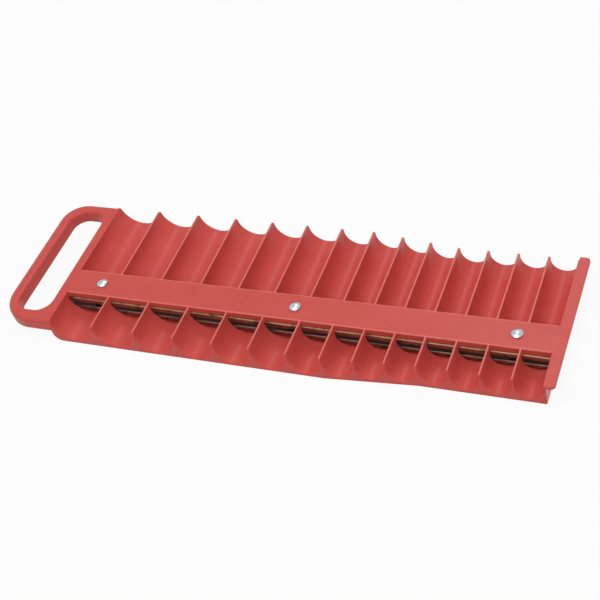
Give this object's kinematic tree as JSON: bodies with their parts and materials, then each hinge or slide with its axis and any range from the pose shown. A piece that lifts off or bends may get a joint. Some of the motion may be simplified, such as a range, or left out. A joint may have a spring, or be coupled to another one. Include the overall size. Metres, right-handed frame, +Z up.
{
  "type": "magnetic socket holder tray",
  "caption": "Shallow moulded tray with a row of long and a row of short round-bottomed troughs for wrench sockets, a riveted magnet bar between the rows, a hanging loop and an end flange.",
  "frame": {"origin": "on the resting plane, under the middle of the tray's outline", "axes": "+X along the tray from the handle loop to the end flange, +Y from the short row towards the long row, +Z up"},
  "size_m": [0.4922, 0.1456, 0.0261],
  "materials": {
    "red_plastic": "satin moulded red polymer",
    "zinc_yellow_steel": "yellow-passivated zinc on mild steel",
    "ferrite": "sintered, dull black",
    "rivet_aluminium": "bright, as formed",
    "washer_steel": "zinc plated"
  },
  "bodies": {
    "root": {"moulded_tray": "red_plastic", "upper_pole_plate": "zinc_yellow_steel", "lower_pole_plate": "zinc_yellow_steel", "magnet_block_01": "ferrite", "magnet_block_02": "ferrite", "magnet_block_03": "ferrite", "magnet_block_04": "ferrite", "magnet_block_05": "ferrite", "magnet_block_06": "ferrite", "magnet_block_07": "ferrite", "magnet_block_08": "ferrite", "magnet_block_09": "ferrite", "magnet_block_10": "ferrite", "rivet_handle": "rivet_aluminium", "washer_handle": "washer_steel", "rivet_middle": "rivet_aluminium", "washer_middle": "washer_steel", "rivet_flange": "rivet_aluminium", "washer_flange": "washer_steel"}
  },
  "joints": []
}
